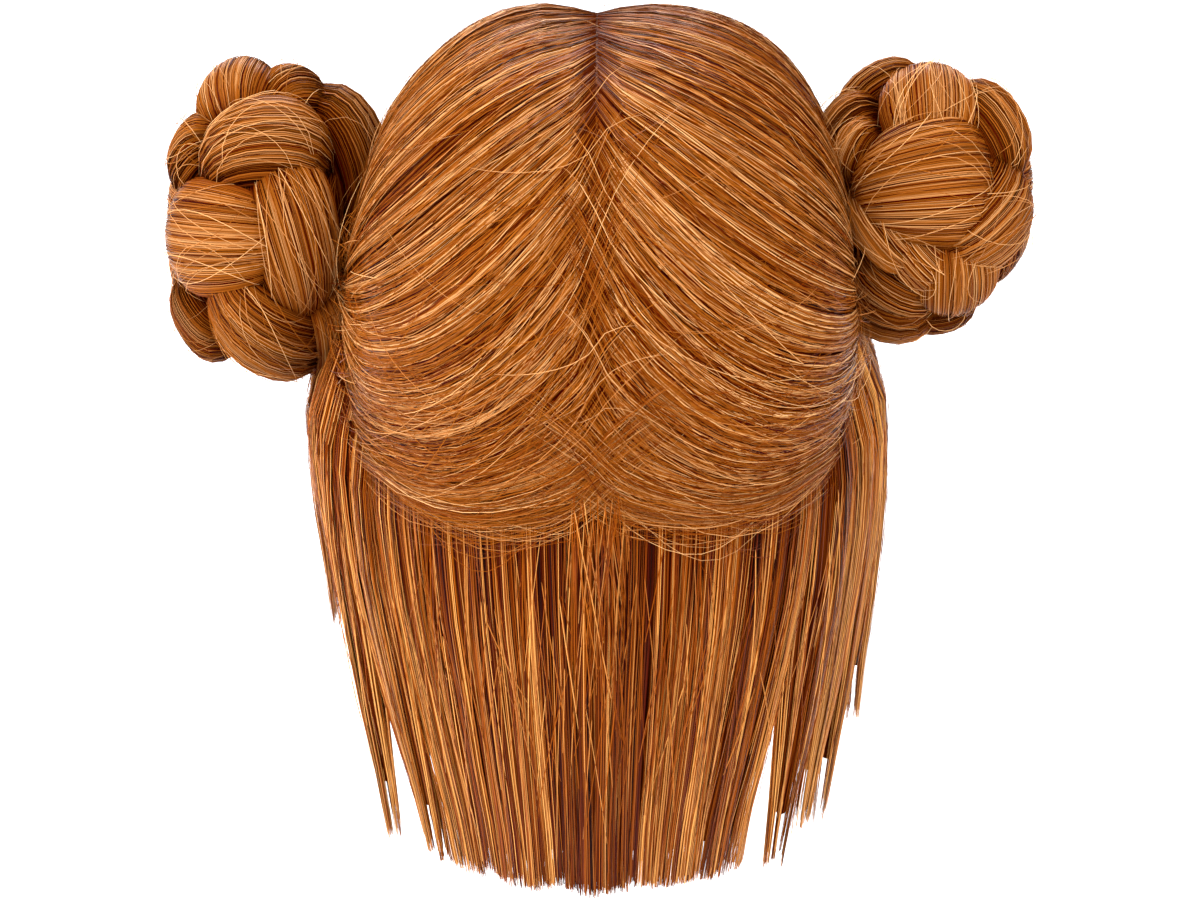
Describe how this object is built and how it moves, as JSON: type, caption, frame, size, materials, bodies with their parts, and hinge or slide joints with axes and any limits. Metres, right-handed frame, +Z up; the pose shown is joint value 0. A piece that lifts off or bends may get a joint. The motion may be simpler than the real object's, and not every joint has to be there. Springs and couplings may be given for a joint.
{
  "type": "wig",
  "caption": "Straight ginger wig parted down the middle, swept sideways into a plaited bun on each side, over blunt-cut locks that hang round the back.",
  "frame": {"origin": "inside top of the cap, where the wig sits on the crown of the head", "axes": "+Z up, the face looks along -Y, the wearer's left is +X"},
  "size_m": [0.2716, 0.1985, 0.2696],
  "materials": {
    "hair": "silky synthetic fibre",
    "cap_net": "matt net"
  },
  "bodies": {
    "root": {"cap": "cap_net", "swept_hair_left": "hair", "swept_hair_right": "hair", "bun_left": "hair", "bun_right": "hair", "hanging_hair_middle": "hair", "hanging_hair_back_left": "hair", "hanging_hair_back_right": "hair", "hanging_hair_side_left": "hair", "hanging_hair_side_right": "hair", "hanging_hair_temple_left": "hair", "hanging_hair_temple_right": "hair"}
  },
  "joints": []
}
